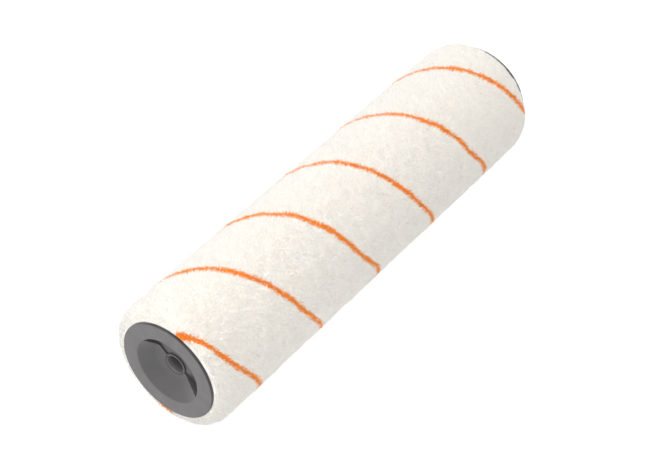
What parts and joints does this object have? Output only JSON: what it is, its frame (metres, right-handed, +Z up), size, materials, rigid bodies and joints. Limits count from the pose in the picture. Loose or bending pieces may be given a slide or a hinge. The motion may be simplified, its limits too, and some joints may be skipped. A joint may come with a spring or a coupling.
{
  "type": "paint roller sleeve",
  "caption": "Paint roller sleeve: a helically wound pile cover on a plastic core tube, with a pressed-in cap and a turning rod bush at each end.",
  "frame": {"origin": "under the middle of the sleeve, on the surface that it lies on; the sleeve's axis is 32.5 mm above it", "axes": "+X along the sleeve from the open cap, where the rod enters, to the closed cap; +Z up; +Y across"},
  "size_m": [0.25, 0.066, 0.0655],
  "materials": {
    "pile": "soft white microfibre pile with two thin orange marking rows",
    "backing_fabric": "knitted ground",
    "core_plastic": "extruded polypropylene",
    "cap_plastic": "moulded, fine matt",
    "bush_plastic": "moulded, satin"
  },
  "bodies": {
    "sleeve": {"core_tube": "core_plastic", "cover_backing": "backing_fabric", "pile_cover": "pile", "near_end_cap": "cap_plastic", "far_end_cap": "cap_plastic"},
    "near_bush": {"near_rod_bush": "bush_plastic"},
    "far_bush": {"far_rod_bush": "bush_plastic"}
  },
  "joints": [
    {"name": "near_bush_spin", "type": "hinge", "parent": "sleeve", "child": "near_bush", "pos_m": [-0.115, 0, 0.0325], "axis": [1, 0, 0], "continuous": true},
    {"name": "far_bush_spin", "type": "hinge", "parent": "sleeve", "child": "far_bush", "pos_m": [0.105, 0, 0.0325], "axis": [1, 0, 0], "continuous": true}
  ]
}
